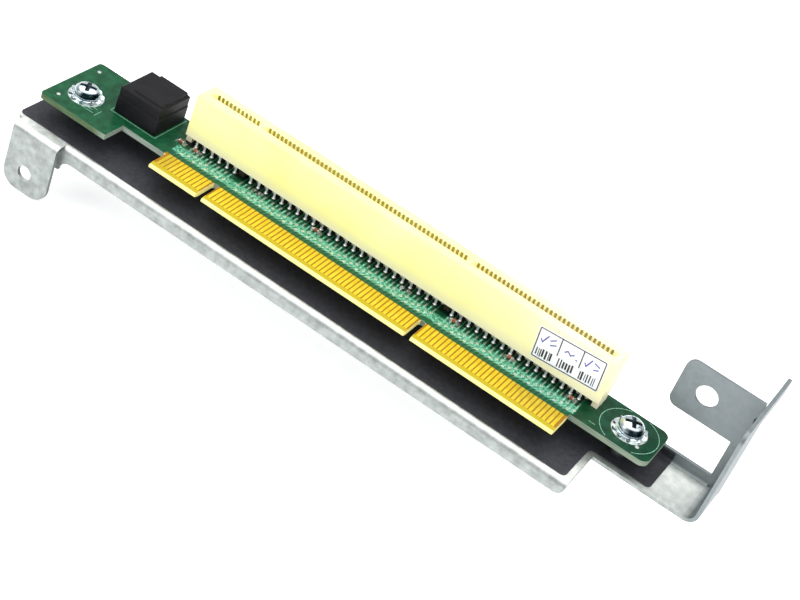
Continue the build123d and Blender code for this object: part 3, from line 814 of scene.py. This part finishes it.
ivory, tree, shader, place = new_material("ivory_moulded_polyester", {
    "IOR": 1.57,
    "Subsurface Weight": 0.12,
    "Subsurface Scale": 1.2 * MM,
    "Emission Strength": 0.35,
})
axes = add(tree, "SeparateXYZ", links={0: place})
flow = add(tree, "TexNoise", {"Scale": 1 / flow_size, "Detail": 2.0}, {"Vector": place})
glass = add(tree, "TexNoise", {"Scale": 1 / glass_size, "Detail": 3.0}, {"Vector": place})
yellow = add(tree, "ValToRGB", {"stops": yellow_tones}, {0: flow})
cream = add(tree, "ValToRGB", {"stops": cream_tones}, {0: flow})
to_right = add(tree, "MapRange", yellow_to_cream, {0: axes.outputs[0]})
skin = add(tree, "MixRGB", links={0: to_right, 1: yellow, 2: cream})
from_lower = add(tree, "MapRange", foot_to_skin, {0: axes.outputs[2]})
lower = add(tree, "MixRGB", {1: foot_tone}, {0: from_lower, 2: skin})
off_middle = add(tree, "Math", {"operation": "SUBTRACT", 1: socket_middle}, {0: axes.outputs[1]})
how_far = add(tree, "Math", {"operation": "ABSOLUTE"}, {0: off_middle})
across_middle = add(tree, "Math", {"operation": "LESS_THAN", 1: inside_half}, {0: how_far})
off_centre = add(tree, "Math", {"operation": "SUBTRACT", 1: socket_centre}, {0: axes.outputs[0]})
how_long = add(tree, "Math", {"operation": "ABSOLUTE"}, {0: off_centre})
between_ends = add(tree, "Math", {"operation": "LESS_THAN", 1: inside_length}, {0: how_long})
inside = add(tree, "Math", times, {0: across_middle, 1: between_ends})
into_shade = {"From Min": dark_below + shade_height, "From Max": dark_below}
deep = add(tree, "MapRange", into_shade, {0: axes.outputs[2]})
shaded = add(tree, "Math", times, {0: inside, 1: deep})
tone = add(tree, "MixRGB", {2: shade_tone}, {0: shaded, 1: lower})
from_slot = add(tree, "MapRange", near_slot, {0: how_far})
from_deep = add(tree, "MapRange", out_of_depth, {0: axes.outputs[2]})
# Painted glow in the card slot, standing in for light through its thin walls.
into_mouth = {"From Min": socket_top - 0.1, "From Max": socket_top - 0.5}
below_mouth = add(tree, "MapRange", into_mouth, {0: axes.outputs[2]})
painted_glow_mask = from_slot
for limit in (between_ends, below_mouth, from_deep):
    painted_glow_mask = add(tree, "Math", times, {0: painted_glow_mask, 1: limit})
painted_glow = add(tree, "MixRGB", {1: "#000000", 2: painted_glow_tone}, {0: painted_glow_mask})
gloss = add(tree, "MapRange", {"To Min": 0.42, "To Max": 0.56}, {0: glass})
silk = add(tree, "Bump", {"Distance": glass_depth * MM}, {"Height": glass})
sunk = add(tree, "Bump", {"Distance": flow_depth * MM}, {"Height": flow, "Normal": silk})
link(tree, shader, {"Base Color": tone, "Emission Color": painted_glow, "Roughness": gloss, "Normal": sunk})

cells = bmesh.new()
for x in contact_xs:
    centre_x = x + socket_offset
    left, right = centre_x - cell_width / 2, centre_x + cell_width / 2
    for side in (-1, 1):
        near, far = (socket_middle + side * reach for reach in (cell_inside, cell_outside))
        slab(cells, oblong(left, right, near, far), mouth_bottom, socket_top + mouth_clearance)
housing = cut(eased("connector_housing", socket_ease), cells)
fit("socket_moulding", housing, ivory, "ivory_plastic", "connector_housing")

# Socket contacts: stamped phosphor bronze springs, gold plated where they press on the card and
# tinned on the tails. Each leans into the slot and flares out again at its tip.
strip = 0.22
strip_width = 0.6
elbow = 4.2
pressed_half = 0.75  # from the slot's middle to where a spring would touch the card
stamping_size = 0.25
stamping_stretch = 0.15
gilt_tones = ((0.3, "#f8edc2"), (0.7, "#fffbe8"))
tail_tones = ((0.3, "#c9cdc9"), (0.7, "#f4f6f4"))
above_elbow = {"From Min": elbow - 0.4, "From Max": elbow + 0.4}  # in Z

springs, tree, shader, place = new_material("gold_over_bronze_with_tinned_tails", {"Metallic": 0.6})
axes = add(tree, "SeparateXYZ", links={0: place})
drawn = add(tree, "Mapping", {"Scale": (1.0, 1.0, stamping_stretch)}, {"Vector": place})
marks = add(tree, "TexNoise", {"Scale": 1 / stamping_size, "Detail": 2.0}, {"Vector": drawn})
gilt = add(tree, "ValToRGB", {"stops": gilt_tones}, {0: marks})
tinned = add(tree, "ValToRGB", {"stops": tail_tones}, {0: marks})
up = add(tree, "MapRange", above_elbow, {0: axes.outputs[2]})
tone = add(tree, "MixRGB", links={0: up, 1: tinned, 2: gilt})
gloss = add(tree, "MapRange", {"To Min": 0.25, "To Max": 0.42}, {0: marks})
link(tree, shader, {"Base Color": tone, "Roughness": gloss})

for side_name, side in (("front", -1), ("rear", 1)):
    for row_name, row, parity in (("outer", outer_row, 0), ("inner", inner_row, 1)):
        lean = pressed_half - row
        spring = (
            (row, 0.0), (row, 2.0), (row, elbow - 0.5), (row + 0.05 * lean, elbow + 0.3),
            (row + 0.2 * lean, elbow + 1.6), (row + 0.6 * lean, 8.6), (row + 0.95 * lean, 11.6),
            (0.66, 12.4), (0.68, 12.7), (0.84, 13.15),
        )
        row_of_springs = bmesh.new()
        for x in contact_xs[parity::2]:
            left = x + socket_offset - strip_width / 2

            def stand(u, v, w, side=side, left=left):
                return (left + w, socket_middle + side * u, v)

            ribbon(row_of_springs, spring, strip, 0.0, strip_width, stand)
        node = f"{side_name}_{row_name}_contacts"
        fit(f"{side_name}_{row_name}_springs", row_of_springs, springs, "contact_gold", node)

# Receptacle: black glass-filled nylon, a base with six pins and a stepped cover pressed over it.
# The skin is nearly black and satin, with fine texture from the mould.
base_ease, lid_ease, leg_ease = 0.22, 0.18, 0.08
skin_grain = 0.35  # coarser than a real mould's texture, so that it shows
skin_depth = 0.02
haze_size = 4.0
nylon_tones = ((0.35, "#0b0b0e"), (0.7, "#161419"))

nylon, tree, shader, place = new_material("black_moulded_nylon", {
    "IOR": 1.53,
    "Specular IOR Level": 0.18,
})
pitting = add(tree, "TexNoise", {"Scale": 1 / skin_grain, "Detail": 3.0}, {"Vector": place})
haze = add(tree, "TexNoise", {"Scale": 1 / haze_size, "Detail": 3.0}, {"Vector": place})
tone = add(tree, "ValToRGB", {"stops": nylon_tones}, {0: haze})
gloss = add(tree, "MapRange", {"To Min": 0.46, "To Max": 0.6}, {0: haze})
textured = add(tree, "Bump", {"Distance": skin_depth * MM}, {"Height": pitting})
link(tree, shader, {"Base Color": tone, "Roughness": gloss, "Normal": textured})

for name, node, ease, finish, slot in (
    ("receptacle_base", "receptacle_housing", base_ease, nylon, "black_plastic"),
    ("receptacle_lid", "receptacle_cover", lid_ease, nylon, "black_cover"),
    ("receptacle_legs", "receptacle_pins", leg_ease, solder, "pin_tin"),
):
    fit(name, eased(node, ease), finish, slot, node)

# Chips: ceramic capacitors and film resistors, fired blocks with tinned caps, soldered to lands in
# front of the socket. The capacitors are brown, the resistors black on top.
block_ease, cap_ease = 0.05, 0.06
chip_half_width = 0.75
cap_inside = 0.7  # from a chip's middle to where its solder starts
cap_reach = 1.6  # and to the toe of it
fleck_size = 0.4
fleck_depth = 0.02
chips = {  # places in X, dark and light tone, height and slot
    "capacitor": (
        (-2.0, 2.7, 41.8, 84.6, 101.3, 119.5), "#6f3a1e", "#a8653c", 0.8, "capacitor_ceramic",
    ),
    "resistor": ((22.9, 69.8), "#131315", "#26262a", 0.4, "resistor_black"),
}
chip_low, chip_high = (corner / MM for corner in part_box("capacitor_bodies"))
chip_middle = (chip_low.y + chip_high.y) / 2
chip_front, chip_back = chip_middle - chip_half_width, chip_middle + chip_half_width

for name, (place_xs, dark, light, height, slot) in chips.items():
    ceramic = (f"fired_{name}_ceramic", {"Roughness": 0.42, "IOR": 1.6})
    flecks = ((0.35, dark), (0.65, light))
    fired = grained(*ceramic, fleck_size, 4.0, flecks, depth=fleck_depth)
    blocks, caps = f"{name}_bodies", f"{name}_terminals"
    fit(f"{name}_blocks", eased(blocks, block_ease), fired, slot, blocks)
    fit(f"{name}_caps", eased(caps, cap_ease), solder, "chip_tin", caps)
    toe = (
        (cap_inside, 0.0), (cap_reach, 0.0), (cap_reach, 0.05), (1.0, 0.16),
        (0.86, 0.42 * height), (cap_inside, 0.75 * height),
    )
    toes = bmesh.new()
    for x in place_xs:
        for side in (-1, 1):

            def lie(u, v, w, side=side, x=x):
                return (x + side * u, w, v)

            slab(toes, toe, chip_front, chip_back, lie)
    fit(f"{name}_solder", toes, solder, "chip_tin")

# Screws and lock washers: pan heads cold-formed in steel, bright zinc plated with a bluish cast,
# each with a cross recess, on a washer whose twisted teeth bite the tinned land. The front of each
# head's side mirrors the unlit end of the studio, and is given that dark tone as a painted
# reflection. The walls and floor of each recess get a darker grey, as painted shade.
head_bottom, head_top = 0.8, 3.1
recess_turn = 25  # degrees from X, as the screws were left
recess_half = 2.3
recess_width = 1.15
recess_depth = 1.7
recess_flare, recess_taper = 1.05, 0.6  # of its size, at the top and at the floor
tooth_count = 10
tooth_root = 3.7
tooth_width = 1.25
tooth_half_thickness = 0.22
tooth_height = 0.4
tooth_twist = 17  # degrees
blue_patch = 1.6
blue_depth = 0.02
ridge_size = 0.3
recess_shade_size = 0.5
blue_tones = ((0.35, "#d3e4ea"), (0.65, "#f2fbfd"))
recess_shade_tones = ((0.35, "#3f4c52"), (0.7, "#76878e"))
dark_side = "#1b2a30"
head_side = {"From Min": 0.92, "From Max": 0.72}  # Z, Y and X of the surface's direction
to_front = {"From Min": 0.3, "From Max": -0.2}
not_to_left = {"From Min": -0.8, "From Max": 0.2}
pan_head = (
    (0, head_top), (1.2, head_top - 0.02), (2.1, head_top - 0.16), (2.75, head_top - 0.46),
    (3.2, head_top - 0.92), (3.4, head_top - 1.4), (3.45, head_bottom + 0.3),
    (3.38, head_bottom + 0.06), (3.25, head_bottom), (1.7, head_bottom), (1.7, -5.2),
    (1.4, -5.7), (0, -5.7),
)
washer_ring = (
    (1.95, 0.2), (1.95, 0.62), (2.05, 0.7), (3.75, 0.7), (3.85, 0.6), (3.85, 0.2), (3.75, 0.1),
    (2.05, 0.1),
)
tooth_half = tooth_width / 2
tooth_outline = (
    (tooth_root, -tooth_half), (washer_reach - 0.15, -tooth_half * 0.8),
    (washer_reach - 0.02, -tooth_half * 0.4), (washer_reach - 0.02, tooth_half * 0.4),
    (washer_reach - 0.15, tooth_half * 0.8), (tooth_root, tooth_half),
)
arm_half = recess_width / 2
plus = [  # a quarter of the cross, turned four times
    (u * x - v * y, u * y + v * x)
    for x, y in ((1, 0), (0, 1), (-1, 0), (0, -1))
    for u, v in ((recess_half, -arm_half), (recess_half, arm_half), (arm_half, arm_half))
]

blue_zinc, tree, shader, place = new_material("bright_zinc_on_cold_formed_steel", {"Metallic": 1.0})
patches = add(tree, "TexNoise", {"Scale": 1 / blue_patch, "Detail": 3.0}, {"Vector": place})
bluish = add(tree, "ValToRGB", {"stops": blue_tones}, {0: patches})
ridges = add(tree, "TexNoise", {"Scale": 1 / ridge_size, "Detail": 3.0}, {"Vector": place})
gloss = add(tree, "MapRange", {"To Min": 0.16, "To Max": 0.34}, {0: ridges})
axes = add(tree, "SeparateXYZ", links={0: place})
facing = add(tree, "SeparateXYZ", links={0: add(tree, "NewGeometry").outputs["Normal"]})
above_washer = {"operation": "GREATER_THAN", 1: head_bottom + 0.15}
on_head = add(tree, "Math", above_washer, {0: axes.outputs[2]})
steep = add(tree, "MapRange", head_side, {0: facing.outputs[2]})
frontal = add(tree, "MapRange", to_front, {0: facing.outputs[1]})
rightward = add(tree, "MapRange", not_to_left, {0: facing.outputs[0]})
darkened = frontal
for limit in (rightward, steep, on_head):
    darkened = add(tree, "Math", times, {0: darkened, 1: limit})
tone = add(tree, "MixRGB", {2: dark_side}, {0: darkened, 1: bluish})
formed = add(tree, "Bump", {"Distance": blue_depth * MM}, {"Height": patches})
link(tree, shader, {"Base Color": tone, "Roughness": gloss, "Normal": formed})

# Painted shade: the recess's walls and floor get a darker grey, standing in for the shade inside
# it.
recess_shade = grained(
    "painted_shade_in_screw_recess", {"Metallic": 1.0}, recess_shade_size, 3.0, recess_shade_tones, (0.35, 0.6)
)

for side, (centre_x, centre_y) in zip(("left", "right"), screw_places):
    head = bmesh.new()
    turned(head, (centre_x, centre_y, 0), pan_head, 48)
    cross = bmesh.new()
    rims = []
    for size, z in ((recess_flare, head_top + 0.1), (recess_taper, head_top - recess_depth)):
        turn = Matrix.Rotation(math.radians(recess_turn), 2) * size
        corners = [turn @ Vector(point) for point in plus]
        rims.append([cross.verts.new((centre_x + c.x, centre_y + c.y, z)) for c in corners])
    cross.faces.new(rims[0])
    cross.faces.new(rims[1][::-1])
    for i in range(len(plus)):
        cross.faces.new((rims[0][i - 1], rims[1][i - 1], rims[1][i], rims[0][i]))
    bored = cut(head, cross)
    piece = fit(f"{side}_pan_head_screw", bored, blue_zinc, "screw_zinc", f"{side}_screw")
    piece.data.materials.append(recess_shade)
    for face in piece.data.polygons:
        middle = face.center / MM
        reach = math.hypot(middle.x - centre_x, middle.y - centre_y)
        wall = reach < recess_half and abs(face.normal.z) < 0.6 and middle.z < head_top - 0.05
        floor = reach < recess_half and abs(middle.z - head_top + recess_depth) < 0.05
        if middle.z > head_bottom and (wall or floor):
            face.material_index = 1

    washer = bmesh.new()
    turned(washer, (centre_x, centre_y, 0), washer_ring, 60)
    for tooth in range(tooth_count):
        angle = math.radians(360 * tooth / tooth_count)
        turn = Matrix.Rotation(angle, 3, "Z") @ Matrix.Rotation(math.radians(tooth_twist), 3, "X")

        def twist(u, v, w, turn=turn, centre_x=centre_x, centre_y=centre_y):
            return Vector((centre_x, centre_y, tooth_height)) + turn @ Vector((u, v, w))

        slab(washer, tooth_outline, -tooth_half_thickness, tooth_half_thickness, twist)
    fit(f"{side}_toothed_washer", washer, blue_zinc, "washer_zinc", f"{side}_lock_washer")

# Label: self-adhesive matt paper, stuck on a little askew. The print is generic: a frame, and three
# boxes over a strip of bars. A blue pen has left ticks and dashes in the boxes.
label_ease = 0.03
label_tilt = math.radians(4.3)
label_half_length, label_half_height = 9.5, 4.6
frame_margin = 0.35
frame_width = 0.3
strip_share = 0.22  # the boxes end this far below the middle, as a share of the frame's height
bar_margin_left, bar_margin_right = 0.8, 0.9
print_rise = 0.02
pen_width = 0.34
pen_rise = 0.015
pen_strokes = (
    [(-8.3, 1.4), (-7.7, 0.6), (-6.5, 3.0)],
    [(-5.9, 1.9), (-4.4, 2.9)],
    [(-5.6, 0.7), (-4.0, 1.5)],
    [(-1.6, 1.1), (-0.8, 1.8), (0.1, 1.0), (1.0, 1.7)],
    [(1.6, 0.6), (2.1, 0.6)],
    [(4.0, 1.4), (4.6, 0.6), (5.7, 3.0)],
    [(6.4, 2.6), (8.0, 2.0)],
    [(6.6, 0.6), (7.9, 1.2)],
)
seed = 11
fibre_size = 0.5
fibre_depth = 0.015
patch_size = 0.3
paper_tones = ((0.35, "#e9ecf4"), (0.65, "#f8f9fd"))
ink_colours = {
    "black_print": ((0.35, "#171616"), (0.7, "#3a3838")),
    "blue_pen": ((0.35, "#30368c"), (0.7, "#5a60b4")),
}
label_low, label_high = (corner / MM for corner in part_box("label"))
label_middle = (label_low + label_high) / 2

matt = {"Roughness": 0.7, "IOR": 1.47}
paper = grained("matt_label_paper", matt, fibre_size, 5.0, paper_tones, depth=fibre_depth)
inks = {
    name: grained(f"{name}_ink", {"Roughness": 0.55}, patch_size, 4.0, colours)
    for name, colours in ink_colours.items()
}

fit("label_sheet", eased("label", label_ease, steps=1), paper, "label_paper", "label")


def on_label(u, v, w):
    """Where a point of the print lies: u along the label, v up it, w proud of its face."""
    return (
        label_middle.x + u * math.cos(label_tilt) - v * math.sin(label_tilt),
        label_low.y - w,
        label_middle.z + u * math.sin(label_tilt) + v * math.cos(label_tilt),
    )


frame_u, frame_v = label_half_length - frame_margin, label_half_height - frame_margin
strip_top = -frame_v * strip_share
frame_lines = (
    ((-frame_u, -frame_v), (frame_u, -frame_v)),
    ((-frame_u, frame_v), (frame_u, frame_v)),
    ((-frame_u, -frame_v), (-frame_u, frame_v)),
    ((frame_u, -frame_v), (frame_u, frame_v)),
    ((-frame_u / 3, strip_top), (-frame_u / 3, frame_v)),
    ((frame_u / 3, strip_top), (frame_u / 3, frame_v)),
)
print_ink = bmesh.new()
for line in frame_lines:
    ribbon(print_ink, line, frame_width, 0.0, print_rise, on_label)
draw = random.Random(seed)
for box in (-1, 0, 1):
    u = box * frame_u * 2 / 3 - frame_u / 3 + bar_margin_left
    while u < box * frame_u * 2 / 3 + frame_u / 3 - bar_margin_right:
        width = draw.choice((0.22, 0.34, 0.5))
        top = strip_top - draw.choice((0.25, 0.5))
        bar = ((u, -frame_v + draw.choice((0.5, 0.8))), (u, top))
        ribbon(print_ink, bar, width, 0.0, print_rise, on_label)
        u += width + draw.choice((0.28, 0.4))
fit("label_print", print_ink, inks["black_print"], "label_paper")

pen = bmesh.new()
for stroke in pen_strokes:
    ribbon(pen, stroke, pen_width, 0.0, pen_rise, on_label)
fit("label_pen_strokes", pen, inks["blue_pen"], "label_paper")
